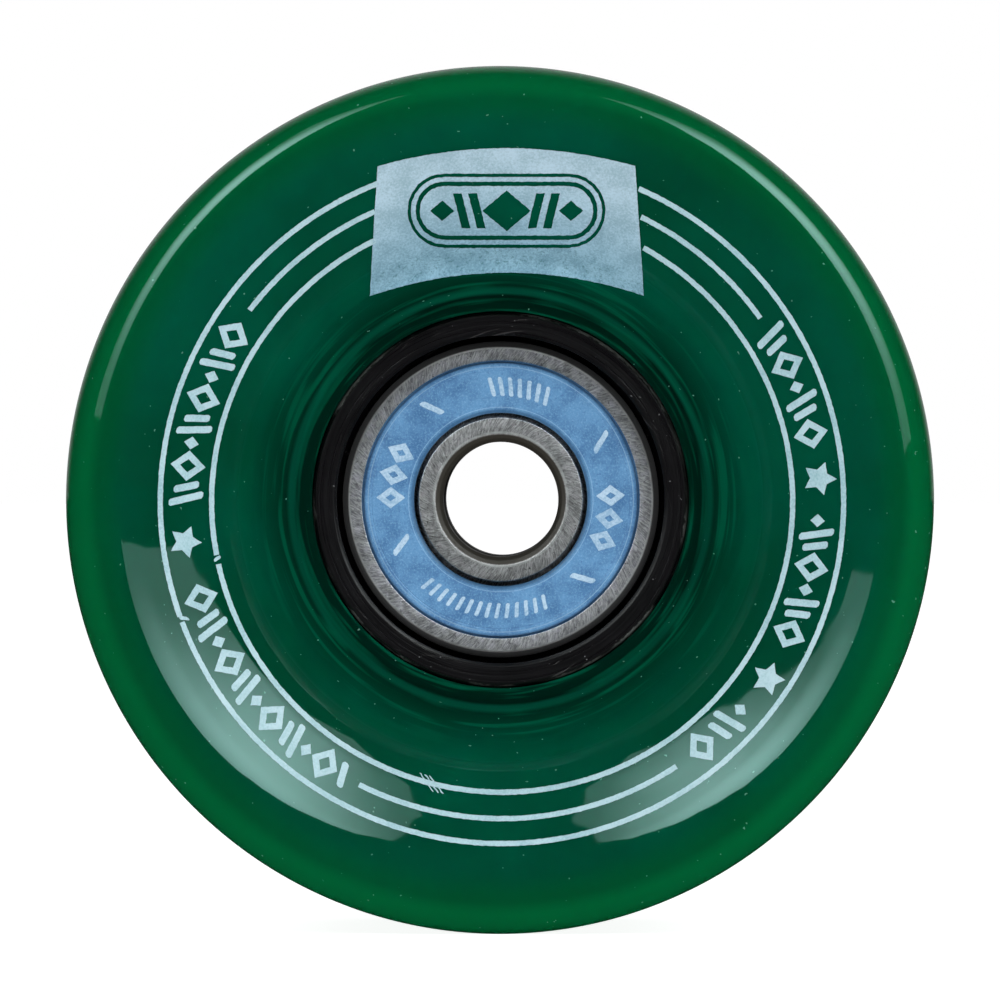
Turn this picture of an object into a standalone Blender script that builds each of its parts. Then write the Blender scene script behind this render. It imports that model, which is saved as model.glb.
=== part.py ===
"""A 60 mm cruiser skateboard wheel: urethane tyre, core, spacer and two sealed 608 ball bearings.

The origin is the wheel's centre, the axle line is Y, and the printed face looks towards -Y.
Driving dimensions and outlines are in millimetres, and meshes are made in metres. An outline is
a closed loop of (radius, height along the axle) points that runs down its outer side and up its
inner side. A Screw modifier turns it about the axle line.
"""

import math

import bmesh
import bpy
from mathutils import Matrix, Vector

MM = 0.001
AXLE_TURN = (-math.pi / 2, 0.0, 0.0)  # lays a turned piece's own Z along the axle line, +Y

# Wheel
WHEEL_RADIUS = 30.0
WHEEL_WIDTH = 45.0
LIP_RADIUS = 2.75  # rounds the tread's corner over into the front-most ring of each face
DISH_START = 22.5  # degrees that the dish leans where it leaves the lip
DISH_ARCS = (  # radius of each arc down the dish, its lean in degrees at its end, and its steps
    (11.0, 31.5, 1),
    (95.0, 34.3, 1),
    (18.0, 43.5, 2),
)
CORE_RADIUS = 13.0  # visible ring round the bearing
CORE_FACE = 13.15  # height of that ring above the middle of the wheel
CORE_MOUTH_RADIUS = 11.4  # chamfer that leads a bearing into its seat
CORE_SHOULDER_RADIUS = 9.95  # rib between the two seats
DRUM_RADIUS = 15.2
DRUM_GROOVE_RADIUS = 13.9
MOULD_GAP = 0.08

# 608 bearing: 8 x 22 x 7 mm
BORE_RADIUS = 4.0
BEARING_RADIUS = 11.0
BEARING_WIDTH = 7.0
BEARING_SPACING = 10.0  # between the inboard faces
BALL_RADIUS = 1.984
BALL_COUNT = 7
PITCH_RADIUS = 7.5
RACEWAY_RADIUS = 2.05
OUTER_LAND_RADIUS = 9.0
INNER_LAND_RADIUS = 6.05
OUTER_FACE_RADII = (9.67, 10.55)  # flat end of the outer race
INNER_FACE_RADII = (4.6, 5.7)
SEAL_FACE = 3.22  # height of a seal's face above the bearing's middle
CAGE_RADII = (6.75, 8.25)
CAGE_REACH = (-2.38, 0.95)
POCKET_GAP = 0.1
SPACER_RADII = (4.15, 5.1)
SPACER_CHAMFER = 0.15
RUNNING_GAP = 0.05
SEAT_GAP = 0.07  # between the outer race and the core

BEARING_HALF = BEARING_WIDTH / 2
BEARING_CENTRE = BEARING_SPACING / 2 + BEARING_HALF
WHEEL_HALF = WHEEL_WIDTH / 2

WHEEL_STEPS = 48
BEARING_STEPS = 36
CAGE_STEPS = 42
CORNER_ANGLE = math.radians(24)  # faces that meet more sharply than this keep a crisp edge


def clear_scene():
    for old in list(bpy.data.objects):
        bpy.data.objects.remove(old, do_unlink=True)


def new_collection(name):
    collection = bpy.data.collections.new(name)
    bpy.context.scene.collection.children.link(collection)
    return collection


def make_material(name, colour, roughness, metallic=0.0):
    material = bpy.data.materials.new(name)
    material.use_nodes = True
    shader = material.node_tree.nodes["Principled BSDF"]
    shader.inputs["Base Color"].default_value = (*colour, 1.0)
    shader.inputs["Roughness"].default_value = roughness
    shader.inputs["Metallic"].default_value = metallic
    material.diffuse_color = (*colour, 1.0)
    return material


def arc(centre, radius, start, end, steps):
    """Points along an arc, with angles in degrees from outwards (+radius) towards up (+height)."""
    angles = [math.radians(start + (end - start) * i / steps) for i in range(steps + 1)]
    return [(centre[0] + radius * math.cos(a), centre[1] + radius * math.sin(a)) for a in angles]


def mirrored(half):
    """The lower half of a symmetric outline, in the order that carries on from the upper half."""
    return [(radius, -height) for radius, height in reversed(half)]


def spread(points, distance):
    """A line moved sideways by a distance, to the left of its direction, with mitred corners."""
    line = [Vector(point) for point in points]
    moved = []
    for i, point in enumerate(line):
        before = (point - line[i - 1]).normalized() if i else None
        after = (line[i + 1] - point).normalized() if i + 1 < len(line) else None
        before = before or after
        after = after or before
        side = Vector((-before.y - after.y, before.x + after.x)).normalized()
        reach = distance / side.dot(Vector((-before.y, before.x)))
        moved.append(tuple(point + side * reach))
    return moved


def place_mesh(name, mesh, material, collection):
    if material:
        mesh.materials.append(material)
    piece = bpy.data.objects.new(name, mesh)
    collection.objects.link(piece)
    return piece


def settle(piece):
    """Swaps a piece's modifiers for the mesh they make, smooth except at its corners."""
    view = bpy.context.evaluated_depsgraph_get()
    outline_mesh = piece.data
    mesh = bpy.data.meshes.new_from_object(piece.evaluated_get(view))
    mesh.name = piece.name
    mesh.shade_smooth()
    mesh.set_sharp_from_angle(angle=CORNER_ANGLE)
    piece.modifiers.clear()
    piece.data = mesh
    bpy.data.meshes.remove(outline_mesh)


def turned(name, outline, steps, material, collection, height=0.0, flip=False, on_flats=False):
    """A solid turned about the axle line, centred at a height along it, and end for end if flip.

    Its ridges lie at the outline's radii, with one at the bottom. With on_flats, the middles of
    its flat sides lie at those radii instead, and a flat side is at the bottom.
    """
    mesh = bpy.data.meshes.new(name)
    start = math.pi / steps if on_flats else 0.0
    across, aside = MM, MM * math.tan(start)
    corners = [(radius * across, radius * aside, up * MM) for radius, up in outline]
    sides = [(i, (i + 1) % len(outline)) for i in range(len(outline))]
    mesh.from_pydata(corners, sides, [])
    piece = place_mesh(name, mesh, material, collection)
    screw = piece.modifiers.new("turn", "SCREW")
    screw.axis = "Z"
    screw.steps = steps
    screw.render_steps = steps
    screw.use_merge_vertices = True
    screw.merge_threshold = 0.000001
    settle(piece)
    piece.rotation_euler = AXLE_TURN
    if flip:
        piece.rotation_euler.x += math.pi
    piece.location = (0.0, height * MM, 0.0)
    return piece


def tyre_face():
    """Upper half of the tyre's outside, from the tread in to the core's ring."""
    crest = (WHEEL_RADIUS - LIP_RADIUS, WHEEL_HALF - LIP_RADIUS)
    line = arc(crest, LIP_RADIUS, 0.0, 90.0, 4)
    line += arc(crest, LIP_RADIUS, 90.0, 90.0 + DISH_START, 1)[1:]
    lean = DISH_START
    for radius, end, steps in DISH_ARCS:
        turn = math.radians(90.0 + lean)
        centre = (line[-1][0] - radius * math.cos(turn), line[-1][1] - radius * math.sin(turn))
        line += arc(centre, radius, 90.0 + lean, 90.0 + end, steps)[1:]
        lean = end
    ledge = [(17.0, 15.75), (16.3, 15.4), (14.85, 15.3)]
    flash = [(14.15, 13.95), (13.8, 13.55), (CORE_RADIUS + MOULD_GAP, 13.35)]
    return line + ledge + flash


def drum_side():
    """Upper half of the core's outside, from its ring down to the groove round its middle."""
    return [
        (CORE_RADIUS, CORE_FACE - 0.2),
        (CORE_RADIUS, 11.6),
        (DRUM_RADIUS, 10.4),
        (DRUM_RADIUS, 6.0),
        (DRUM_GROOVE_RADIUS, 5.0),
    ]


def build_tyre(collection):
    outside = list(reversed(tyre_face()))
    side = drum_side()
    cavity = spread(side + mirrored(side), MOULD_GAP)
    outline = outside + mirrored(outside) + list(reversed(cavity))[1:-1]
    material = make_material("tyre", (0.004, 0.105, 0.055), 0.12)
    return turned("tyre", outline, WHEEL_STEPS, material, collection, on_flats=True)


def build_core(collection):
    side = [(CORE_RADIUS - 0.2, CORE_FACE)] + drum_side()
    seat_radius = BEARING_RADIUS + SEAT_GAP
    shoulder = BEARING_SPACING / 2 - RUNNING_GAP
    seat = [
        (CORE_SHOULDER_RADIUS, shoulder),
        (seat_radius, shoulder),
        (seat_radius, CORE_FACE - 0.35),
        (CORE_MOUTH_RADIUS, CORE_FACE),
    ]
    outline = side + mirrored(side) + mirrored(seat) + seat
    material = make_material("core", (0.012, 0.012, 0.013), 0.35)
    return turned("core", outline, WHEEL_STEPS, material, collection, on_flats=True)


def build_spacer(collection):
    end = BEARING_SPACING / 2 - RUNNING_GAP
    bore, rim = SPACER_RADII
    outside = [(rim - SPACER_CHAMFER, end), (rim, end - SPACER_CHAMFER)]
    inside = [(bore, end - SPACER_CHAMFER), (bore + SPACER_CHAMFER, end)]
    outline = outside + mirrored(outside) + mirrored(inside) + inside
    material = make_material("bearing_spacer", (0.62, 0.63, 0.65), 0.3, 1.0)
    return turned("bearing_spacer", outline, BEARING_STEPS, material, collection)


def outer_race_outline():
    lip, edge = OUTER_FACE_RADII
    rim = [(edge, BEARING_HALF), (BEARING_RADIUS, BEARING_HALF - 0.45)]
    reach = math.degrees(math.acos((OUTER_LAND_RADIUS - PITCH_RADIUS) / RACEWAY_RADIUS))
    raceway = arc((PITCH_RADIUS, 0.0), RACEWAY_RADIUS, -reach, reach, 4)
    mouth = [
        (OUTER_LAND_RADIUS, 2.5),
        (9.95, 2.62),
        (9.95, 3.1),
        (lip, 3.25),
        (lip, BEARING_HALF),
    ]
    return rim + mirrored(rim) + mirrored(mouth) + raceway + mouth


def inner_race_outline():
    reach = math.degrees(math.acos((PITCH_RADIUS - INNER_LAND_RADIUS) / RACEWAY_RADIUS))
    raceway = arc((PITCH_RADIUS, 0.0), RACEWAY_RADIUS, 180.0 - reach, 180.0 + reach, 4)
    lip, edge = INNER_FACE_RADII
    shoulder = [(edge, BEARING_HALF), (edge, 2.75), (INNER_LAND_RADIUS, 2.45)]
    bore = [(BORE_RADIUS, 2.9), (BORE_RADIUS + 0.18, 3.3), (lip, BEARING_HALF)]
    return shoulder + raceway + mirrored(shoulder) + mirrored(bore) + bore


def seal_outline():
    """A seal whose rim snaps into the outer race's groove, as it sits above the bearing's middle."""
    return [(9.53, SEAL_FACE), (9.53, 3.0), (9.86, 3.0), (9.86, 2.8), (6.02, 2.8), (6.02, SEAL_FACE)]


def insert_outline():
    """The steel washer that backs a seal."""
    return [(8.9, 2.72), (8.9, 2.5), (6.5, 2.5), (6.5, 2.72)]


def cage_outline():
    """The plain ring of a snap-in cage: a thin base on one side, open to the balls on the other."""
    (inner, outer), (base, open_end) = CAGE_RADII, CAGE_REACH
    return [(outer, open_end), (outer, base), (inner, base), (inner, open_end)]


def ball_centres(height):
    """Centres of one bearing's balls, in metres, the first one at the top."""
    turns = [2 * math.pi * k / BALL_COUNT for k in range(BALL_COUNT)]
    return [
        Vector((PITCH_RADIUS * math.sin(turn), height, PITCH_RADIUS * math.cos(turn))) * MM
        for turn in turns
    ]


def pocket_cutter(name, centres, radius, collection):
    """The balls' pockets in the cage, as one mesh of spheres that is not part of the wheel."""
    shape = bmesh.new()
    for centre in centres:
        place = Matrix.Translation(centre)
        bmesh.ops.create_uvsphere(shape, u_segments=10, v_segments=6, radius=radius, matrix=place)
    mesh = bpy.data.meshes.new(name)
    shape.to_mesh(mesh)
    shape.free()
    cutter = place_mesh(name, mesh, None, collection)
    cutter.hide_render = True
    cutter.display_type = "WIRE"
    return cutter


def build_cage(end, height, flip, material, collection, cutters):
    cage = turned(f"{end}_ball_cage", cage_outline(), CAGE_STEPS, material, collection, height, flip)
    pocket_radius = (BALL_RADIUS + POCKET_GAP) * MM
    cutter = pocket_cutter(f"{end}_ball_pockets", ball_centres(height), pocket_radius, cutters)
    pockets = cage.modifiers.new("pockets", "BOOLEAN")
    pockets.operation = "DIFFERENCE"
    pockets.solver = "EXACT"
    pockets.object = cutter


def build_balls(end, height, material, collection):
    shape = bmesh.new()
    bmesh.ops.create_icosphere(shape, subdivisions=2, radius=BALL_RADIUS * MM)
    mesh = bpy.data.meshes.new(f"{end}_ball")
    shape.to_mesh(mesh)
    shape.free()
    mesh.shade_smooth()
    mesh.materials.append(material)
    for number, centre in enumerate(ball_centres(height), start=1):
        ball = bpy.data.objects.new(f"{end}_ball_{number}", mesh)
        ball.location = centre
        collection.objects.link(ball)


def build_bearing(end, sign, collection, cutters):
    """One 608 bearing; sign is the way from the wheel's middle to it along the axle line."""
    height = sign * BEARING_CENTRE
    steel = make_material(f"{end}_races", (0.42, 0.41, 0.4), 0.32, 1.0)
    rubber = make_material(f"{end}_seals", (0.09, 0.24, 0.47), 0.45)
    washer = make_material(f"{end}_inserts", (0.5, 0.5, 0.5), 0.4, 1.0)
    nylon = make_material(f"{end}_cage", (0.6, 0.57, 0.48), 0.5)
    chrome = make_material(f"{end}_balls", (0.75, 0.75, 0.76), 0.08, 1.0)
    turned(f"{end}_outer_race", outer_race_outline(), BEARING_STEPS, steel, collection, height)
    turned(f"{end}_inner_race", inner_race_outline(), BEARING_STEPS, steel, collection, height)
    for side, flip in (("outboard", sign < 0), ("inboard", sign > 0)):
        seal = f"{end}_{side}_seal"
        turned(seal, seal_outline(), BEARING_STEPS, rubber, collection, height, flip)
        insert = f"{end}_{side}_seal_insert"
        turned(insert, insert_outline(), BEARING_STEPS, washer, collection, height, flip)
    build_cage(end, height, sign < 0, nylon, collection, cutters)
    build_balls(end, height, chrome, collection)


def main():
    clear_scene()
    wheel = new_collection("skateboard_wheel")
    cutters = new_collection("cutters")
    build_tyre(wheel)
    build_core(wheel)
    build_spacer(wheel)
    build_bearing("front", -1, wheel, cutters)
    build_bearing("rear", 1, wheel, cutters)


main()
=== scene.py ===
"""A 60 mm cruiser skateboard wheel: the looks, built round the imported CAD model.

Sizes are in millimetres and are turned into metres as each mesh is made. The axle line is Y, and
the printed face looks towards -Y. An outline is a closed loop of (radius, height along the axle)
corners, each with an optional third number that rounds it.
"""

import math

import bmesh
import bpy
import numpy as np
from mathutils import Matrix, Vector, noise
from mathutils.geometry import delaunay_2d_cdt


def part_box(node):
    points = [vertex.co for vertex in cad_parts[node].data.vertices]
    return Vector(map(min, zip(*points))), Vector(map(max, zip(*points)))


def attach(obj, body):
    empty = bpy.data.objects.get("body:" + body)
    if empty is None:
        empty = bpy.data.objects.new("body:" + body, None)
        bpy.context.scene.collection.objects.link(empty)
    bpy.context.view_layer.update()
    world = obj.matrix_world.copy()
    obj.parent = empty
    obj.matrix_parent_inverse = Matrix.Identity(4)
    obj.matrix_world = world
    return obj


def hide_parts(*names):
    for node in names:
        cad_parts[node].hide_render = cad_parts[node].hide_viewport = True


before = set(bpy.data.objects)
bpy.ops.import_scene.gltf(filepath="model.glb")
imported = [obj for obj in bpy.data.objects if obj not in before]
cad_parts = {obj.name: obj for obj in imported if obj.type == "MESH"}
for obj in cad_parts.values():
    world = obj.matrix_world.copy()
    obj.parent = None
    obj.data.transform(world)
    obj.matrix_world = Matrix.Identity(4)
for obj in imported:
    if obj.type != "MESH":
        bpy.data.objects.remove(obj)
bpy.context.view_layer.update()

MM = 0.001
SHARP_CORNER = 30.0  # degrees between two faces that makes their edge a sharp one

# Tyre
WHEEL_RADIUS = 30.0
WHEEL_HALF = 22.5
LIP_RADIUS = 2.75
DISH_START = 22.5  # degrees that the dish leans where it leaves the lip
DISH_ARCS = ((11.0, 31.5), (95.0, 34.3), (18.0, 43.5))  # radius of each arc, and its lean at its end
LEDGE_HEIGHT = 15.4
LEDGE_EDGE = 14.85  # where the ledge turns down to the core
CORE_RADIUS = 13.0
CORE_FACE = 13.15
TYRE_STEPS = 360
TYRE_SAMPLE = 0.22  # spacing of the points along the tyre's outline

# Bearing
BEARING_CENTRE = 8.5
BEARING_HALF = 3.5
PITCH_RADIUS = 7.5
RACEWAY_RADIUS = 2.05
BALL_RADIUS = 1.984
BALL_COUNT = 7
SEAL_FACE = 3.22
BEARING_STEPS = 240

# Print on the front face
PRINT_SHIFT = (0.14, -0.12)  # the print sits a little off the wheel's centre
STRIPE_RADII = (23.6, 21.9, 20.1)
STRIPE_WIDTH = 0.36
PRINT_SEED = 7  # of the noise that roughens printed edges, so that each run gives the same ones
MARK_RADIUS = 21.85  # of the circle that the rows of marks follow
STAR_WAIST = 0.53  # a star's inner corners, as a share of its points' reach
INK_LIFT = 0.012  # above the surface
INK_DEPTH = 0.03  # below it, so that no gap shows

# Studio, in metres
FLOOR_LEVEL = -0.030
FLOOR_RADIUS = 6.0
SOFTBOX_WIDTH = 0.41
SOFTBOX_HEIGHT = 0.857
SOFTBOX_POWER = 27.0  # watts for each square metre of a softbox
FILL_POWER = 18.0


# ---------------------------------------------------------------- outlines

def arc(centre, radius, start, end, steps):
    """Points along an arc, with angles in degrees from outwards (+radius) towards up (+height)."""
    angles = [math.radians(start + (end - start) * i / steps) for i in range(steps + 1)]
    return [(centre[0] + radius * math.cos(a), centre[1] + radius * math.sin(a)) for a in angles]


def rounded(corners, steps=5):
    """The closed loop of corners, with an arc in place of each one that has a rounding radius.

    An arc starts and ends short of the middle of the sides next to it, so that none overlap.
    """
    loop = []
    count = len(corners)
    for i, corner in enumerate(corners):
        here = Vector(corner[:2])
        radius = corner[2] if len(corner) > 2 else 0.0
        back = Vector(corners[i - 1][:2]) - here
        ahead = Vector(corners[(i + 1) % count][:2]) - here
        opening = back.angle(ahead) if radius else math.pi
        if math.pi - opening < 0.02:  # a sharp corner, or nearly a straight line
            loop.append(tuple(here))
            continue
        reach = min(radius / math.tan(opening / 2), back.length * 0.49, ahead.length * 0.49)
        radius = reach * math.tan(opening / 2)
        centre = here + (back.normalized() + ahead.normalized()).normalized() * (
            radius / math.sin(opening / 2)
        )
        first = here + back.normalized() * reach - centre
        last = here + ahead.normalized() * reach - centre
        sweep = first.angle_signed(last)
        for k in range(steps + 1):
            turn = Matrix.Rotation(-sweep * k / steps, 2)
            loop.append(tuple(centre + turn @ first))
    return loop


def resampled(points, spacing):
    """The same line with extra points, so that none are further apart than the spacing."""
    line = [points[0]]
    for a, b in zip(points, points[1:]):
        parts = max(1, math.ceil(math.dist(a, b) / spacing))
        for k in range(1, parts + 1):
            line.append((a[0] + (b[0] - a[0]) * k / parts, a[1] + (b[1] - a[1]) * k / parts))
    return line


def mirrored(half):
    """The lower half of a symmetric outline, in the order that carries on from the upper half."""
    return [(point[0], -point[1], *point[2:]) for point in reversed(half)]


def tyre_face():
    """Upper half of the tyre's outside, from its tread in to the core's ring."""
    crest = (WHEEL_RADIUS - LIP_RADIUS, WHEEL_HALF - LIP_RADIUS)
    line = arc(crest, LIP_RADIUS, 0.0, 90.0 + DISH_START, 36)
    lean = DISH_START
    for radius, end in DISH_ARCS:
        turn = math.radians(90.0 + lean)
        centre = (line[-1][0] - radius * math.cos(turn), line[-1][1] - radius * math.sin(turn))
        line += arc(centre, radius, 90.0 + lean, 90.0 + end, 24)[1:]
        lean = end
    last = line[-1]
    run = (last[1] - LEDGE_HEIGHT) / math.tan(math.radians(lean))
    shelf = [
        last,
        (last[0] - run, LEDGE_HEIGHT, 0.7),
        (LEDGE_EDGE, LEDGE_HEIGHT - 0.12, 0.4),
        (14.1, 13.65, 0.45),
        (CORE_RADIUS + 0.32, 13.5, 0.15),
        (CORE_RADIUS + 0.1, 13.42),
    ]
    inner = rounded([(last[0] + 1.0, last[1] + 1.0)] + shelf, 8)[2:]
    return resampled(line + inner, TYRE_SAMPLE)


TYRE_FACE = tyre_face()
FACE_RADII = np.array([point[0] for point in reversed(TYRE_FACE)])
FACE_HEIGHTS = np.array([point[1] for point in reversed(TYRE_FACE)])


def dish_height(radius):
    """How far in front of the wheel's middle the tyre's face is, at a radius inside its crest."""
    return float(np.interp(radius, FACE_RADII, FACE_HEIGHTS))


# ---------------------------------------------------------------- meshes

def closed_mesh(name, corners, faces):
    """A mesh whose faces all look outwards."""
    mesh = bpy.data.meshes.new(name)
    mesh.from_pydata(corners, [], faces)
    shape = bmesh.new()
    shape.from_mesh(mesh)
    bmesh.ops.recalc_face_normals(shape, faces=shape.faces)
    shape.to_mesh(mesh)
    shape.free()
    return mesh


def finish_mesh(name, mesh, body, material, replaced=()):
    """Puts a mesh in the scene, on its body and in its slot, in place of the CAD nodes replaced."""
    mesh.materials.append(material)
    mesh.shade_smooth()
    mesh.set_sharp_from_angle(angle=math.radians(SHARP_CORNER))
    piece = bpy.data.objects.new(name, mesh)
    bpy.context.scene.collection.objects.link(piece)
    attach(piece, body)
    if replaced:
        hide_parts(*replaced)
    return piece


def turned(name, outline, steps, body, material, replaced):
    """A solid made by turning an outline about the axle line."""
    ring = np.array(outline) * MM
    turns = np.arange(steps) * 2 * math.pi / steps
    x = np.outer(np.sin(turns), ring[:, 0])
    y = np.tile(ring[:, 1], (steps, 1))
    z = np.outer(np.cos(turns), ring[:, 0])
    corners = np.stack([x, y, z], axis=2).reshape(-1, 3)
    count = len(ring)
    faces = []
    for i in range(steps):
        here, ahead = i * count, (i + 1) % steps * count
        for k in range(count):
            after = (k + 1) % count
            faces.append((here + k, ahead + k, ahead + after, here + after))
    mesh = closed_mesh(name, corners.tolist(), faces)
    return finish_mesh(name, mesh, body, material, replaced)


# ---------------------------------------------------------------- shader helpers

class Shader:
    """A material's node tree, with short calls for the nodes that the materials here share."""

    def __init__(self, name):
        self.material = bpy.data.materials.new(name)
        self.material.use_nodes = True
        self.tree = self.material.node_tree
        self.surface = self.tree.nodes["Principled BSDF"]

    def add(self, kind, inputs=None, **settings):
        """A new node with its settings and inputs filled in."""
        node = self.tree.nodes.new(kind)
        for key, value in settings.items():
            setattr(node, key, value)
        for key, value in (inputs or {}).items():
            self.put(node.inputs[key], value)
        return node

    def put(self, socket, value):
        """Links a socket to another node's output, or sets it to a plain value."""
        if isinstance(value, bpy.types.NodeSocket):
            self.tree.links.new(value, socket)
        else:
            socket.default_value = value

    def set(self, **values):
        """Fills in the surface shader's sockets, named with _ for a space."""
        for key, value in values.items():
            self.put(self.surface.inputs[key.replace("_", " ")], value)

    def math(self, operation, a, b=0.0, c=0.0):
        node = self.add("ShaderNodeMath", operation=operation)
        for socket, value in zip(node.inputs, (a, b, c)):
            self.put(socket, value)
        return node.outputs[0]

    def both(self, a, b):
        """The product of two amounts."""
        return self.math("MULTIPLY", a, b)

    def mix(self, amount, a, b):
        """Between two colours by an amount."""
        node = self.add("ShaderNodeMix", data_type="RGBA")
        self.put(node.inputs[0], amount)
        self.put(node.inputs[6], a)
        self.put(node.inputs[7], b)
        return node.outputs[2]

    def spread(self, value, low, high, to_low=0.0, to_high=1.0):
        """A value's stretch from low to high, as a smooth run from to_low to to_high."""
        node = self.add("ShaderNodeMapRange", interpolation_type="SMOOTHSTEP")
        for key, number in zip(("Value", "From Min", "From Max", "To Min", "To Max"),
                               (value, low, high, to_low, to_high)):
            self.put(node.inputs[key], number)
        return node.outputs["Result"]

    def place(self):
        """The object's own coordinates in millimetres, as one vector."""
        where = self.add("ShaderNodeTexCoord").outputs["Object"]
        scaled = self.add(
            "ShaderNodeVectorMath", operation="SCALE", inputs={"Vector": where, "Scale": 1 / MM}
        )
        return scaled.outputs[0]

    def polar(self, around, along, twist=0.0):
        """Coordinates that run round the axle line and out from it, and the radius in millimetres.

        Two numbers stretch them, and a twist slants what is drawn with them into a spiral.
        """
        x, y, z = self.add("ShaderNodeSeparateXYZ", inputs={"Vector": self.place()}).outputs
        radius = self.math("SQRT", self.math("MULTIPLY_ADD", x, x, self.both(z, z)))
        angle = self.math("ARCTAN2", z, x)
        angle = self.math("MULTIPLY_ADD", radius, twist, angle)
        cosine = self.both(self.math("COSINE", angle), around)
        sine = self.both(self.math("SINE", angle), around)
        out = self.both(self.math("ADD", radius, self.both(y, 0.7)), along)
        joined = self.add("ShaderNodeCombineXYZ", inputs={0: cosine, 1: sine, 2: out})
        return joined.outputs[0], radius

    def noise(self, vector, scale, detail=2.0, roughness=0.5):
        node = self.add(
            "ShaderNodeTexNoise",
            inputs={"Vector": vector, "Scale": scale, "Detail": detail, "Roughness": roughness},
        )
        return node.outputs["Fac"]

    def bump(self, height, distance, strength):
        inputs = {"Height": height, "Distance": distance, "Strength": strength}
        return self.add("ShaderNodeBump", inputs=inputs).outputs["Normal"]


def colour(red, green, blue):
    return (red, green, blue, 1.0)


def shade(tone, factor):
    """A colour that is a tone's parts times a factor, none of them over 1."""
    return colour(*[min(1.0, part * factor) for part in tone])


# ---------------------------------------------------------------- materials

def urethane():
    """Deep green cast urethane: glossy, a little cloudy inside, with a satin ground tread."""
    s = Shader("green_urethane")
    where = s.place()
    rings, radius = s.polar(1.5, 2.6)
    cloud = s.spread(s.noise(where, 0.07, 3.0), 0.35, 0.65)
    base = s.mix(cloud, colour(0.0001, 0.055, 0.024), colour(0.0001, 0.074, 0.038))
    fine = s.spread(s.noise(where, 0.35, 4.0), 0.3, 0.7)
    base = s.mix(s.both(fine, 0.2), base, colour(0.0001, 0.044, 0.028))
    # painted shade: the crest ring darker and a yellower green
    outward = s.spread(radius, 25.5, 27.8, 0.0, 0.7)
    base = s.mix(outward, base, colour(0.0001, 0.066, 0.017))
    # painted glow: the lip's outer rim a brighter green, as if lit through the translucent lip
    lip = s.spread(radius, 27.6, 28.8)
    base = s.mix(s.both(lip, 0.6), base, colour(0.0002, 0.128, 0.036))
    # painted shade: the ledge darkens towards the core, where the dish shades it
    painted_core_shade = s.spread(radius, 14.2, 18.2, 1.0, 0.0)
    base = s.mix(painted_core_shade, base, colour(0.0003, 0.012, 0.007))
    # painted highlight: a lighter line along the step at the ledge's edge
    painted_step_highlight = s.both(s.spread(radius, 14.15, 14.4), s.spread(radius, 14.6, 14.9, 0.8, 0.0))
    base = s.mix(painted_step_highlight, base, colour(0.0008, 0.064, 0.034))
    # painted highlights: lighter rings over the moulding ripples near the core
    ripple_highlight_reach = s.spread(radius, 16.2, 18.6, 0.6, 0.0)
    band = s.spread(s.noise(rings, 1.0, 2.0, 0.6), 0.50, 0.66)
    base = s.mix(s.both(band, ripple_highlight_reach), base, colour(0.0004, 0.082, 0.040))
    speck = s.spread(s.noise(where, 2.8, 1.0), 0.765, 0.79)
    base = s.mix(s.both(speck, 0.6), base, colour(0.16, 0.38, 0.28))
    tread_roughness = s.spread(radius, WHEEL_RADIUS - 0.15, WHEEL_RADIUS - 0.03, 0.04, 0.26)
    ledge_roughness = s.spread(radius, 17.9, 18.9, 0.3, 0.0)
    s.set(
        Base_Color=base,
        Roughness=s.math("ADD", tread_roughness, ledge_roughness),
        IOR=1.5,
        Specular_IOR_Level=s.spread(radius, 17.9, 18.9, 0.0, 0.5),
        Specular_Tint=colour(0.63, 1.0, 0.97),
        Subsurface_Weight=0.6,
        Subsurface_Radius=(0.15, 1.0, 0.6),
        Subsurface_Scale=0.004,
    )
    ripple = s.noise(where, 0.28, 1.0)
    s.set(Normal=s.bump(ripple, 0.00004, 0.6))
    return s.material


def black_core():
    """Moulded black nylon with faint rings and scuffs."""
    s = Shader("black_core")
    where = s.place()
    rings, radius = s.polar(1.2, 7.0)
    scuffs, _ = s.polar(9.0, 1.0, 0.35)
    ring = s.noise(rings, 1.0, 3.0)
    scuff = s.spread(s.noise(scuffs, 1.0, 4.0, 0.6), 0.62, 0.74)
    fleck = s.spread(s.noise(where, 2.6, 2.0, 0.6), 0.70, 0.75)
    patch = s.noise(where, 0.5, 3.0)
    base = s.mix(patch, colour(0.0012, 0.0011, 0.0014), colour(0.006, 0.0052, 0.0062))
    base = s.mix(s.both(scuff, 0.4), base, colour(0.10, 0.09, 0.09))
    base = s.mix(s.both(fleck, 0.5), base, colour(0.26, 0.26, 0.27))
    ragged = s.math("MULTIPLY_ADD", s.noise(where, 1.1, 4.0, 0.7), 0.6, radius)
    broken = s.spread(s.noise(where, 0.16, 1.0), 0.46, 0.6)
    flash = s.both(s.spread(ragged, 13.14, 13.24), broken)
    base = s.mix(s.both(flash, 0.7), base, colour(0.17, 0.18, 0.17))
    roughness = s.spread(ring, 0.3, 0.7, 0.24, 0.46)
    s.set(Base_Color=base, Roughness=roughness, IOR=1.5, Specular_IOR_Level=0.36)
    s.set(Normal=s.bump(s.math("ADD", ring, s.both(scuff, 0.4)), 0.00008, 0.7))
    return s.material


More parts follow.
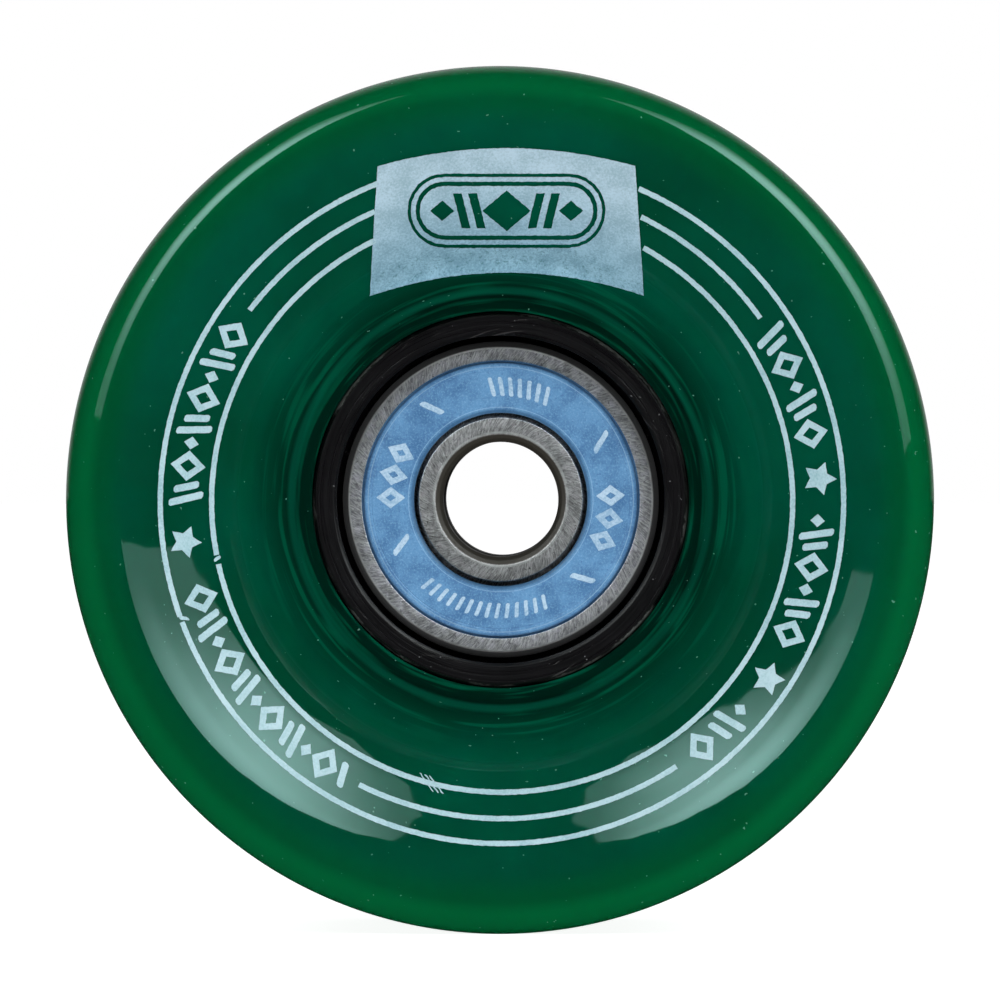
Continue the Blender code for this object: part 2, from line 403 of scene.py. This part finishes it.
def ground_steel(name, tone, density, slant, chamfer, chamfer_colour):
    """Ground bearing steel: slanted grinding marks and pits, and a dark unground chamfer.

    The chamfer is given by the two radii between which the ground face gives way to it.
    """
    s = Shader(name)
    where = s.place()
    marks, radius = s.polar(density, 2.2, slant)
    cross, _ = s.polar(density * 0.5, 4.0, -slant)
    mark = s.noise(marks, 1.0, 3.0, 0.75)
    crossed = s.noise(cross, 1.0, 3.0, 0.7)
    mottle = s.noise(where, 1.6, 4.0, 0.65)
    light = shade(tone, 1.5)
    base = s.mix(s.spread(mark, 0.34, 0.66), shade(tone, 0.5), light)
    base = s.mix(s.spread(mottle, 0.4, 0.9), base, colour(*tone))
    base = s.mix(s.spread(crossed, 0.60, 0.72), base, shade(tone, 0.2))
    glint = s.spread(s.noise(where, 4.5, 3.0, 0.7), 0.62, 0.70)
    base = s.mix(glint, base, colour(1.0, 1.0, 1.0))
    # painted highlight: a lighter line along the edge where the ground face meets the chamfer
    near = s.math("ABSOLUTE", s.math("SUBTRACT", radius, chamfer[0]))
    base = s.mix(s.spread(near, 0.04, 0.12, 0.8, 0.0), base, light)
    edge = s.spread(radius, *chamfer)
    base = s.mix(edge, base, chamfer_colour)
    s.set(
        Base_Color=base,
        Metallic=s.math("MULTIPLY_ADD", edge, -0.75, 1.0),
        Roughness=s.spread(mottle, 0.3, 0.7, 0.42, 0.60),
    )
    height = s.math("ADD", s.both(mark, 0.8), s.both(crossed, 0.5))
    s.set(Normal=s.bump(height, 0.00003, 0.7))
    return s.material


def blue_seal():
    """Blue moulded rubber, satin and mottled."""
    s = Shader("blue_seal")
    where = s.place()
    rings, radius = s.polar(1.0, 5.0)
    patch = s.spread(s.noise(where, 0.55, 5.0, 0.6), 0.32, 0.68)
    speckle = s.noise(where, 7.0, 3.0, 0.7)
    base = s.mix(patch, colour(0.046, 0.135, 0.292), colour(0.106, 0.255, 0.460))
    base = s.mix(s.spread(speckle, 0.45, 0.75, 0.0, 0.7), base, colour(0.22, 0.40, 0.60))
    grain = s.noise(where, 4.2, 5.0, 0.8)
    base = s.mix(s.spread(grain, 0.54, 0.68, 0.0, 0.75), base, colour(0.040, 0.125, 0.29))
    # painted highlights: lighter rings on the seal's steps near its outer and inner edges
    for middle, width in ((9.22, 0.05), (6.42, 0.04)):
        near = s.math("ABSOLUTE", s.math("SUBTRACT", radius, middle))
        base = s.mix(s.spread(near, 0.0, width, 0.55, 0.0), base, colour(0.34, 0.50, 0.66))
    # painted shade: darker where the seal turns down into the gaps at its outer rim and inner lip
    edge = s.spread(radius, 9.27, 9.5)
    base = s.mix(s.both(edge, 0.6), base, colour(0.02, 0.07, 0.16))
    lip = s.spread(radius, 6.4, 6.15)
    base = s.mix(s.both(lip, 0.75), base, colour(0.02, 0.08, 0.17))
    s.set(Base_Color=base, Roughness=0.42, IOR=1.5, Sheen_Weight=0.1)
    height = s.math("ADD", speckle, s.both(s.noise(rings, 1.0, 2.0), 0.6))
    s.set(Normal=s.bump(height, 0.00002, 0.7))
    return s.material


def finish_ink(s, base, stipple):
    """Sets what all the printed inks share."""
    s.set(Base_Color=base, Roughness=0.4, IOR=1.45)
    s.set(Normal=s.bump(stipple, 0.00002, 0.6))
    return s.material


def ink_cover(s, where, wear):
    """The ink's fine stipple, and how thickly it lies from place to place."""
    stipple = s.noise(where, 6.5, 3.0, 0.65)
    patch = s.noise(where, 0.5, 3.0)
    amount = s.math("ADD", s.both(stipple, 0.55), s.both(patch, 0.45))
    return stipple, s.spread(amount, wear - 0.14, wear + 0.14)


def ink(name, thin, thick, wear):
    """Pad-printed ink, pale and slightly stippled, thinner in places."""
    s = Shader(name)
    stipple, cover = ink_cover(s, s.place(), wear)
    return finish_ink(s, s.mix(cover, thin, thick), stipple)


def label_ink():
    """The label's ink: smooth and pale above, with painted shade darkening it towards the core, where it
    is also pitted.
    """
    s = Shader("label_ink")
    where = s.place()
    _, radius = s.polar(1.0, 1.0)
    stipple, cover = ink_cover(s, where, 0.5)
    upper = s.mix(cover, colour(0.30, 0.43, 0.50), colour(0.46, 0.60, 0.70))
    lower = s.mix(cover, colour(0.145, 0.280, 0.365), colour(0.280, 0.470, 0.590))
    # painted shade: the label's ink darkens towards the core
    base = s.mix(s.spread(radius, 16.2, 24.0), lower, upper)
    pits = s.spread(s.noise(where, 4.5, 3.0, 0.6), 0.56, 0.66)
    pitted = s.both(s.spread(radius, 17.3, 18.8, 0.5, 0.0), pits)
    base = s.mix(pitted, base, colour(0.02, 0.11, 0.11))
    return finish_ink(s, base, stipple)


def plain_metal(name, tone, roughness):
    """Turned, stamped or polished metal with fine rings."""
    s = Shader(name)
    where = s.place()
    rings, _ = s.polar(0.5, 8.0)
    ring = s.noise(rings, 1.0, 3.0)
    base = s.mix(s.noise(where, 1.2, 3.0), shade(tone, 0.8), colour(*tone))
    streaked = s.spread(ring, 0.3, 0.7, roughness * 0.8, roughness * 1.3)
    s.set(Base_Color=base, Metallic=1.0, Roughness=streaked)
    s.set(Normal=s.bump(ring, 0.00002, 0.4))
    return s.material


def nylon():
    """The cages' plain uncoloured nylon."""
    s = Shader("natural_nylon")
    where = s.place()
    base = s.mix(s.noise(where, 0.9, 3.0), colour(0.50, 0.46, 0.36), colour(0.62, 0.58, 0.47))
    s.set(Base_Color=base, Roughness=0.45, Subsurface_Weight=0.2, Subsurface_Scale=0.001)
    s.set(Normal=s.bump(s.noise(where, 4.0, 2.0), 0.00002, 0.4))
    return s.material


# ---------------------------------------------------------------- wheel and bearings

def build_tyre(material):
    """The tyre, with faint moulding ripples inside its dish."""
    ripple_radius, ripple_reach, ripple_height = 16.5, 3.0, 0.01
    outside = []
    for radius, height in reversed(TYRE_FACE):
        fade = max(0.0, 1.0 - abs(radius - ripple_radius) / ripple_reach)
        outside.append((radius, height + ripple_height * fade * math.sin(radius * 11.0)))
    drum = [(13.1, 11.72), (15.28, 10.52), (15.28, 5.96), (14.0, 5.0)]
    cavity = drum + mirrored(drum)
    outline = outside + mirrored(outside) + list(reversed(cavity))
    turned("tyre_skin", outline, TYRE_STEPS, "wheel", material, ["tyre"])


def build_core(material):
    """The core, with its ring's faint turning grooves."""
    side = [(12.2, CORE_FACE - 0.03, 0.5), (12.82, CORE_FACE, 0.2), (13.0, 12.9, 0.1), (13.0, 11.6)]
    side += [(15.2, 10.4), (15.2, 6.0), (13.9, 5.0)]
    mouth = [(11.07, 9.6), (11.4, 10.0), (11.4, CORE_FACE - 0.16, 0.05), (11.62, CORE_FACE, 0.2)]
    seat = [(9.95, 4.95, 0.1), (11.07, 4.95)] + mouth
    outline = rounded(side + mirrored(side) + mirrored(seat) + seat)
    turned("core_body", outline, BEARING_STEPS, "wheel", material, ["core"])


def lifted(outline, height, flip=False):
    """An outline moved along the axle line, end for end if flip."""
    sign = -1 if flip else 1
    return [(radius, sign * up + height) for radius, up in outline]


def outer_race_outline():
    """The outer race, with its raceway and its grooves for the seals."""
    rim = [(10.55, BEARING_HALF, 0.1), (11.0, BEARING_HALF - 0.45, 0.12)]
    depth = 1.5  # from the balls' circle out to the raceway's edges
    reach = math.degrees(math.acos(depth / RACEWAY_RADIUS))
    raceway = arc((PITCH_RADIUS, 0.0), RACEWAY_RADIUS, -reach, reach, 16)
    mouth = [(9.0, 2.5), (9.95, 2.62), (9.95, 3.1), (9.67, 3.25), (9.67, BEARING_HALF, 0.05)]
    return rounded(rim + mirrored(rim) + mirrored(mouth) + raceway + mouth, 4)


def inner_race_outline():
    """The inner race, with its raceway and the chamfers of its bore."""
    depth = 1.45  # from the balls' circle in to the raceway's edges
    reach = math.degrees(math.acos(depth / RACEWAY_RADIUS))
    raceway = arc((PITCH_RADIUS, 0.0), RACEWAY_RADIUS, 180.0 - reach, 180.0 + reach, 16)
    shoulder = [(5.7, BEARING_HALF, 0.07), (5.7, 2.75), (6.05, 2.45, 0.05)]
    bore = [(4.0, 2.9, 0.4), (4.25, 3.35, 0.2), (4.6, BEARING_HALF, 0.06)]
    return rounded(shoulder + raceway + mirrored(shoulder) + mirrored(bore) + bore, 4)


def seal_outline():
    """A seal with a shallow step near each edge, its rim in the outer race's groove."""
    top = [(6.02, 3.1, 0.08), (6.25, SEAL_FACE - 0.02, 0.06), (6.4, SEAL_FACE), (8.95, SEAL_FACE)]
    steps = [(9.0, SEAL_FACE - 0.03), (9.05, SEAL_FACE), (9.2, SEAL_FACE), (9.25, SEAL_FACE - 0.04)]
    rim = [(9.53, SEAL_FACE - 0.05, 0.08), (9.53, 3.0), (9.86, 3.0), (9.86, 2.8), (6.02, 2.8)]
    return rounded(top + steps + rim, 3)


def insert_outline():
    """The steel washer inside a seal."""
    return rounded([(8.9, 2.72, 0.05), (8.9, 2.5, 0.05), (6.5, 2.5, 0.05), (6.5, 2.72, 0.05)], 2)


def build_balls(end, material):
    """Polished balls, each a piece on its own body."""
    shape = bmesh.new()
    bmesh.ops.create_icosphere(shape, subdivisions=4, radius=BALL_RADIUS * MM)
    template = bpy.data.meshes.new(f"{end}_ball_shape")
    shape.to_mesh(template)
    shape.free()
    for number in range(1, BALL_COUNT + 1):
        node = f"{end}_ball_{number}"
        low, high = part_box(node)
        mesh = template.copy()
        mesh.transform(Matrix.Translation((Vector(low) + Vector(high)) / 2))
        finish_mesh(f"{node}_polished", mesh, node, material, [node])


def build_bearing(end, sign, materials):
    """One bearing's races, seals, inserts and balls, finer than the CAD solids they stand for."""
    height = sign * BEARING_CENTRE
    turned(f"{end}_outer_ring", lifted(outer_race_outline(), height), BEARING_STEPS, "wheel",
           materials["outer"], [f"{end}_outer_race"])
    turned(f"{end}_inner_ring", lifted(inner_race_outline(), height), BEARING_STEPS, "axle_side",
           materials["inner"], [f"{end}_inner_race"])
    for side, flip in (("outboard", sign < 0), ("inboard", sign > 0)):
        turned(f"{end}_{side}_rubber", lifted(seal_outline(), height, flip), BEARING_STEPS, "wheel",
               materials["seal"], [f"{end}_{side}_seal"])
        turned(f"{end}_{side}_washer", lifted(insert_outline(), height, flip), BEARING_STEPS, "wheel",
               materials["insert"], [f"{end}_{side}_seal_insert"])
    build_balls(end, materials["ball"])
    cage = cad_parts[f"{end}_ball_cage"]
    cage.data.materials.clear()
    cage.data.materials.append(materials["cage"])


def build_spacer(material):
    """The tube between the two inner races."""
    outside = [(4.95, 4.95, 0.05), (5.1, 4.8, 0.05)]
    inside = [(4.15, 4.8, 0.05), (4.3, 4.95, 0.05)]
    outline = rounded(outside + mirrored(outside) + mirrored(inside) + inside, 3)
    turned("spacer_tube", outline, 120, "axle_side", material, ["bearing_spacer"])


# ---------------------------------------------------------------- print

def fill(loops, spacing):
    """Triangles that fill an outer loop less the loops inside it, with no long edges."""
    points, edges = [], []
    for loop in loops:
        first = len(points)
        points += loop
        edges += [(first + i, first + (i + 1) % len(loop)) for i in range(len(loop))]
    outer = np.array(loops[0])
    low, high = outer.min(axis=0), outer.max(axis=0)
    for i, x in enumerate(np.arange(low[0], high[0], spacing)):
        shift = spacing / 2 if i % 2 else 0.0
        for y in np.arange(low[1] + shift, high[1], spacing):
            points.append((float(x), float(y)))
    grid = np.array(points[sum(len(loop) for loop in loops):])
    points = points[:len(points) - len(grid)] + [tuple(p) for p in grid[inside(grid, loops)].tolist()]
    flat, _, triangles, *_ = delaunay_2d_cdt([Vector(p) for p in points], edges, [], 0, 1e-5)
    flat = np.array([tuple(p) for p in flat])
    triangles = np.array([tuple(t) for t in triangles])
    kept = triangles[inside(flat[triangles].mean(axis=1), loops)]
    return flat.tolist(), kept.tolist()


def inside(points, loops):
    """Which points lie inside an odd number of the loops."""
    odd = np.zeros(len(points), dtype=bool)
    for loop in loops:
        ends = np.array(loop)
        for (x1, y1), (x2, y2) in zip(ends, np.roll(ends, -1, axis=0)):
            if y1 != y2:
                crosses = (y1 > points[:, 1]) != (y2 > points[:, 1])
                odd ^= crosses & (points[:, 0] < x1 + (points[:, 1] - y1) * (x2 - x1) / (y2 - y1))
    return odd


def ink_mesh(name, points, triangles, surface, material, shift=(0.0, 0.0)):
    """A thin closed skin of ink over a surface whose height is a function of the radius."""
    used = sorted({i for t in triangles for i in t})
    index = {old: new for new, old in enumerate(used)}
    spots = []
    for depth in (INK_LIFT, -INK_DEPTH):
        for i in used:
            x, z = points[i][0] + shift[0], points[i][1] + shift[1]
            spots.append((x * MM, -(surface(math.hypot(x, z)) + depth) * MM, z * MM))
    count = len(used)
    tops = [tuple(index[i] for i in t) for t in triangles]
    seen = {}
    for a, b, c in tops:
        for edge in ((a, b), (b, c), (c, a)):
            seen[edge] = True
    rims = [edge for edge in seen if (edge[1], edge[0]) not in seen]
    faces = tops + [(c + count, b + count, a + count) for a, b, c in tops]
    faces += [(b, a, a + count, b + count) for a, b in rims]
    return finish_mesh(name, closed_mesh(name, spots, faces), "wheel", material)


def roughened(loop, amount, spacing=0.12):
    """A loop with closer points, each pushed a little by noise, as a printed edge is."""
    line = resampled(loop + loop[:1], spacing)[:-1]
    grain = 4.1  # how quickly the push changes along the edge
    moved = []
    for x, y in line:
        push = noise.noise_vector(Vector((x * grain, y * grain, 0.0))) * amount
        moved.append((x + push.x, y + push.y))
    return moved


def at(radius, angle):
    """The point at a radius and an angle in degrees, from the right and anticlockwise."""
    turn = math.radians(angle)
    return radius * math.cos(turn), radius * math.sin(turn)


def band(radius, width, start, end):
    """The loop round a curved stroke, in steps of 1.5 degrees or a little less."""
    steps = max(2, math.ceil(abs(end - start) / 1.5))
    angles = [start + (end - start) * i / steps for i in range(steps + 1)]
    outer = [at(radius + width / 2, a) for a in angles]
    inner = [at(radius - width / 2, a) for a in reversed(angles)]
    return outer + inner


def star(radius, angle, size, tilt):
    """A plain five-pointed star with one point towards the tilt, in degrees."""
    centre = at(radius, angle)
    loop = []
    for k in range(10):
        reach = size if k % 2 == 0 else size * STAR_WAIST
        out = at(reach, tilt + 36 * k)
        loop.append((centre[0] + out[0], centre[1] + out[1]))
    return loop


def bar(radius, angle, height, width, slant=0.0):
    """A small upright bar on a circle, leaning by a slant in degrees, with cut corners."""
    cut = min(height, width) * 0.25
    half_h, half_w = height / 2, width / 2
    shape = [
        (half_h, half_w - cut), (half_h - cut, half_w), (cut - half_h, half_w), (-half_h, half_w - cut),
        (-half_h, cut - half_w), (cut - half_h, -half_w), (half_h - cut, -half_w), (half_h, cut - half_w),
    ]
    centre = Vector(at(radius, angle))
    lean = math.tan(math.radians(slant))
    turn = Matrix.Rotation(math.radians(angle), 2)
    return [tuple(centre + turn @ Vector((out, side + out * lean))) for out, side in shape]


def diamond(radius, angle, height, width):
    """A diamond on a circle, upright seen from the axle."""
    centre = Vector(at(radius, angle))
    turn = Matrix.Rotation(math.radians(angle), 2)
    shape = [(height / 2, 0), (0, width / 2), (-height / 2, 0), (0, -width / 2)]
    return [tuple(centre + turn @ Vector(point)) for point in shape]


def mark_row(radius, start, end):
    """A run of open diamonds, leaning bars and dots along a circle, each with its own width."""
    kinds = (("open", 2.2), ("bar", 0.85), ("tall", 0.85), ("dot", 1.1))
    length = math.radians(end - start) * radius
    count = max(1, round(length / sum(width for _, width in kinds) * len(kinds)))
    chosen = [kinds[k % len(kinds)] for k in range(count)]
    stretch = (end - start) / sum(width for _, width in chosen)
    shapes, angle = [], start
    for kind, width in chosen:
        middle = angle + width * stretch / 2
        angle += width * stretch
        if kind == "open":
            shapes.append([diamond(radius, middle, 2.4, 2.1), diamond(radius, middle, 1.1, 0.9)])
        elif kind == "dot":
            shapes.append([diamond(radius, middle, 1.0, 0.9)])
        else:
            height = 2.35 if kind == "tall" else 1.7
            shapes.append([bar(radius, middle, height, 0.5, 14.0)])
    return shapes


def merged(shapes, spacing, rough):
    """Several separate shapes as one set of points and triangles."""
    points, triangles = [], []
    for loops in shapes:
        flat, faces = fill([roughened(loop, rough) for loop in loops], spacing)
        start = len(points)
        points += flat
        triangles += [tuple(i + start for i in t) for t in faces]
    return points, triangles


def label_loops():
    """The label block, with a rounded double line, diamonds and bars left open in it."""
    middle, top, bottom = 0.45, 24.3, 15.75
    top_half, bottom_half = 8.9, 9.5
    top_drop, bottom_drop = 1.25, 1.62
    steps = 24
    upper = [
        (middle + top_half * t, top - top_drop * t * t)
        for t in [1 - 2 * i / steps for i in range(steps + 1)]
    ]
    lower = [
        (middle + bottom_half * t, bottom - bottom_drop * t * t)
        for t in [2 * i / steps - 1 for i in range(steps + 1)]
    ]
    loops = [upper + lower]
    centre = Vector((middle, 20.0))
    for half_w, half_h in ((6.85, 2.55), (6.62, 2.32), (6.3, 2.0), (6.0, 1.7)):
        ends = arc((half_w - half_h, 0.0), half_h, -90.0, 90.0, 12)
        ends += arc((half_h - half_w, 0.0), half_h, 90.0, 270.0, 12)
        loops.append([(centre.x + x, centre.y + z) for x, z in ends])
    for offset, size in ((-4.45, 0.7), (0.0, 1.4), (4.45, 0.7)):
        spot = [(size, 0), (0, size), (-size, 0), (0, -size)]
        loops.append([(centre.x + offset + x * 1.2, centre.y + z) for x, z in spot])
    for offset in (-3.1, -2.05, 2.05, 3.1):
        lean = math.copysign(0.3, offset)
        spot = [(0.3 + lean, 1.2), (lean - 0.3, 1.2), (-0.3 - lean, -1.2), (0.3 - lean, -1.2)]
        loops.append([(centre.x + offset + x, centre.y + z) for x, z in spot])
    return loops


def build_face_print(material, label_material):
    """Pinstripes, stars, rows of bars and the label block, all on the front of the tyre."""
    outer, middle, inner = STRIPE_RADII
    stripes = [
        (outer, 111.3, 199.6),
        (outer, 200.6, 426.4),
        (inner, 115.9, 190.6),
        (inner, 192.4, 420.9),
        (middle, 113.7, 142.8),
        (middle, 243.2, 303.4),
        (middle, 395.4, 424.0),
    ]
    for number, (radius, start, end) in enumerate(stripes, start=1):
        points, triangles = merged([[band(radius, STRIPE_WIDTH, start, end)]], 0.3, 0.03)
        ink_mesh(f"pinstripe_{number}", points, triangles, dish_height, material, PRINT_SHIFT)
    stars = [
        [star(22.07, 187.2, 1.15, -3.0)],
        [star(21.99, 4.2, 1.2, -2.0)],
        [star(22.08, 326.4, 1.18, -4.0)],
    ]
    points, triangles = merged(stars, 0.3, 0.02)
    ink_mesh("printed_stars", points, triangles, dish_height, material, PRINT_SHIFT)
    runs = [(145.5, 180.5), (195.0, 240.8), (9.5, 33.0), (332.5, 358.0), (306.0, 320.5)]
    for number, (start, end) in enumerate(runs, start=1):
        points, triangles = merged(mark_row(MARK_RADIUS, start, end), 0.3, 0.02)
        ink_mesh(f"printed_marks_{number}", points, triangles, dish_height, material, PRINT_SHIFT)
    nicks = [[bar(inner, angle, 1.0, 0.13, 50.0)] for angle in (254.9, 256.0, 256.9)]
    nicks += [[bar(inner, 191.3, 0.5, 0.22, 20.0)], [bar(outer - 0.2, 200.1, 0.6, 0.3, -30.0)]]
    points, triangles = merged(nicks, 0.3, 0.05)
    ink_mesh("print_nicks", points, triangles, dish_height, material, PRINT_SHIFT)
    points, triangles = merged([label_loops()], 0.25, 0.035)
    ink_mesh("printed_label", points, triangles, dish_height, label_material)


def seal_height(_):
    """How far in front of the wheel's middle the seal's flat face is, the same at any radius."""
    return BEARING_CENTRE + SEAL_FACE


def build_seal_print(material):
    """Plain ticks and bars on the front bearing's outboard seal."""
    marks = [[bar(7.85, float(angle), 1.3, 0.3, 10.0)] for angle in np.linspace(66.0, 94.5, 7)]
    marks += [[bar(7.75, float(angle), 1.05, 0.27, -10.0)] for angle in np.linspace(229.0, 293.0, 14)]
    for middle in (-10.0, 167.0):
        for offset in (-12.0, 0.0, 12.0):
            angle = middle + offset
            marks.append([diamond(7.65, angle, 2.0, 1.5), diamond(7.65, angle, 0.7, 0.5)])
    for radius, angle in ((8.05, 30.0), (7.95, 126.9), (7.6, 204.5), (7.9, 316.2)):
        marks.append([bar(radius, angle, 1.5, 0.42, 28.0)])
    points, triangles = merged(marks, 0.3, 0.03)
    ink_mesh("seal_marks", points, triangles, seal_height, material)


# ---------------------------------------------------------------- studio

def map_range(tree, value, limits, results):
    """Nodes that turn a value between two limits into a smooth run between two results."""
    run = tree.nodes.new("ShaderNodeMapRange")
    run.interpolation_type = "SMOOTHSTEP"
    for key, number in zip(("From Min", "From Max", "To Min", "To Max"), (*limits, *results)):
        run.inputs[key].default_value = number
    tree.links.new(value, run.inputs["Value"])
    return run.outputs["Result"]


def build_floor():
    """A plain round floor that is as white as the world behind it to the camera, and dim to gloss."""
    bpy.ops.mesh.primitive_circle_add(vertices=128, radius=FLOOR_RADIUS, fill_type="NGON")
    floor = bpy.context.object
    floor.name = "studio_floor"
    floor.location.z = FLOOR_LEVEL
    s = Shader("pale_floor")
    path = s.add("ShaderNodeLightPath").outputs
    where = s.place()
    away = s.add("ShaderNodeVectorMath", operation="LENGTH", inputs={0: where}).outputs["Value"]
    glow = s.spread(away, 60.0, 450.0, 0.92, 1.02)
    s.set(
        Base_Color=s.mix(path["Is Glossy Ray"], colour(0.62, 0.62, 0.62), colour(0.03, 0.03, 0.03)),
        Roughness=0.9,
        Specular_IOR_Level=0.0,
        Emission_Color=colour(1.0, 1.0, 1.0),
        Emission_Strength=s.both(path["Is Camera Ray"], glow),
    )
    floor.data.materials.append(s.material)
    floor.visible_shadow = False


def build_world():
    """White to the camera; for light and gloss, white only behind and above, and dim in front."""
    world = bpy.data.worlds.new("studio")
    bpy.context.scene.world = world
    world.use_nodes = True
    tree = world.node_tree
    back = tree.nodes["Background"]
    back.inputs["Color"].default_value = (1.0, 1.0, 1.0, 1.0)
    path = tree.nodes.new("ShaderNodeLightPath")
    way = tree.nodes.new("ShaderNodeTexCoord")
    lean = tree.nodes.new("ShaderNodeVectorMath")
    lean.operation = "DOT_PRODUCT"
    lean.inputs[1].default_value = (0.0, 1.0, 0.35)  # backwards and a little up
    tree.links.new(way.outputs["Generated"], lean.inputs[0])
    dim, bright = 0.012, 0.6
    glow = map_range(tree, lean.outputs["Value"], (0.55, 1.1), (dim, bright))
    mix = tree.nodes.new("ShaderNodeMix")
    tree.links.new(path.outputs["Is Camera Ray"], mix.inputs[0])
    tree.links.new(glow, mix.inputs[2])
    mix.inputs[3].default_value = 1.0
    tree.links.new(mix.outputs[0], back.inputs["Strength"])


def hot_spot(light, across):
    """Dims a softbox towards its edges, from a hot spot at a share of the way across it."""
    light.use_nodes = True
    tree = light.node_tree
    place = tree.nodes.new("ShaderNodeNewGeometry")
    centred = tree.nodes.new("ShaderNodeVectorMath")
    centred.operation = "SUBTRACT"
    centred.inputs[1].default_value = (across, 0.50, 0.0)
    scaled = tree.nodes.new("ShaderNodeVectorMath")
    scaled.operation = "MULTIPLY"
    scaled.inputs[1].default_value = (1.2, 2.15, 0.0)
    away = tree.nodes.new("ShaderNodeVectorMath")
    away.operation = "LENGTH"
    tree.links.new(place.outputs["Parametric"], centred.inputs[0])
    tree.links.new(centred.outputs[0], scaled.inputs[0])
    tree.links.new(scaled.outputs[0], away.inputs[0])
    dimmest = 0.17
    glow = map_range(tree, away.outputs["Value"], (1.05, 0.0), (dimmest, 1.0))
    tree.links.new(glow, tree.nodes["Emission"].inputs["Strength"])


def softbox(name, mirror, width, height, hot):
    """A softbox above and in front of the wheel, on the right, or on the left if mirror is -1.

    Its top edge and the edge nearer the camera stay where they are if it is made smaller.
    """
    centre = Vector((0.505, -0.422, 0.483))
    across = Vector((0.856, 0.488, 0.171))
    out = Vector((0.426, -0.853, 0.301))  # the lamp shines the other way
    across = (across - out * across.dot(out)).normalized()
    axes = [across, out.cross(across), out]
    centre += axes[0] * (width - SOFTBOX_WIDTH) / 2 + axes[1] * (SOFTBOX_HEIGHT - height) / 2
    axes = [Vector((axis.x * mirror, axis.y, axis.z)) for axis in axes]
    if mirror < 0:
        axes[0] = -axes[0]
    light = bpy.data.lights.new(name, "AREA")
    light.shape = "RECTANGLE"
    light.size = width
    light.size_y = height
    light.energy = SOFTBOX_POWER * width * height
    light.color = (0.93, 1.0, 1.0)
    hot_spot(light, hot)
    lamp = bpy.data.objects.new(name, light)
    place = Vector((centre.x * mirror, centre.y, centre.z))
    lamp.matrix_world = Matrix.Translation(place) @ Matrix(axes).transposed().to_4x4()
    lamp.visible_camera = False
    bpy.context.scene.collection.objects.link(lamp)


def fill_light():
    """A broad lamp low in front, for the light that a white table throws back up."""
    light = bpy.data.lights.new("fill", "AREA")
    light.shape = "SQUARE"
    light.size = 1.0
    light.energy = FILL_POWER
    lamp = bpy.data.objects.new("fill", light)
    lamp.location = (0.0, -1.3, -0.75)
    lamp.rotation_euler = (-lamp.location).to_track_quat("-Z", "Y").to_euler()
    lamp.visible_camera = False
    lamp.visible_glossy = False
    bpy.context.scene.collection.objects.link(lamp)


def build_camera():
    """A long lens square on to the printed face, a hair to the right of and above the axle line."""
    aim = Vector((0.0, -0.0195, 0.0))
    distance = 1.3
    aside, above = math.radians(0.38), math.radians(0.27)
    place = aim + distance * Vector((math.sin(aside), -math.cos(aside), math.sin(above)))
    data = bpy.data.cameras.new("camera")
    data.sensor_width = 36.0
    data.lens = 677.0
    data.clip_end = 50.0
    camera = bpy.data.objects.new("camera", data)
    camera.location = place
    camera.rotation_euler = (aim - place).to_track_quat("-Z", "Y").to_euler()
    bpy.context.scene.collection.objects.link(camera)
    bpy.context.scene.camera = camera


def main():
    build_camera()
    build_world()
    build_floor()
    softbox("softbox_right", 1, SOFTBOX_WIDTH, SOFTBOX_HEIGHT, 0.32)
    softbox("softbox_left", -1, 0.32, 0.815, 0.70)
    fill_light()
    bpy.context.scene.view_settings.view_transform = "Standard"

    outer_chamfer = colour(0.046, 0.046, 0.047)
    inner_chamfer = colour(0.038, 0.033, 0.027)
    materials = {
        "outer": ground_steel(
            "ground_outer_steel", (0.80, 0.765, 0.86), 90.0, 0.06, (10.55, 10.64), outer_chamfer
        ),
        "inner": ground_steel(
            "ground_inner_steel", (0.75, 0.70, 0.74), 52.0, 0.11, (4.66, 4.48), inner_chamfer
        ),
        "seal": blue_seal(),
        "insert": plain_metal("stamped_steel", (0.55, 0.55, 0.55), 0.35),
        "ball": plain_metal("polished_steel", (0.80, 0.80, 0.82), 0.08),
        "cage": nylon(),
    }
    build_tyre(urethane())
    build_core(black_core())
    build_spacer(plain_metal("turned_aluminium", (0.66, 0.67, 0.69), 0.3))
    build_bearing("front", -1, materials)
    build_bearing("rear", 1, materials)
    noise.seed_set(PRINT_SEED)
    pale = ink("pale_ink", colour(0.29, 0.47, 0.52), colour(0.45, 0.61, 0.67), 0.47)
    build_face_print(pale, label_ink())
    build_seal_print(ink("seal_ink", colour(0.24, 0.38, 0.54), colour(0.45, 0.58, 0.71), 0.49))


main()
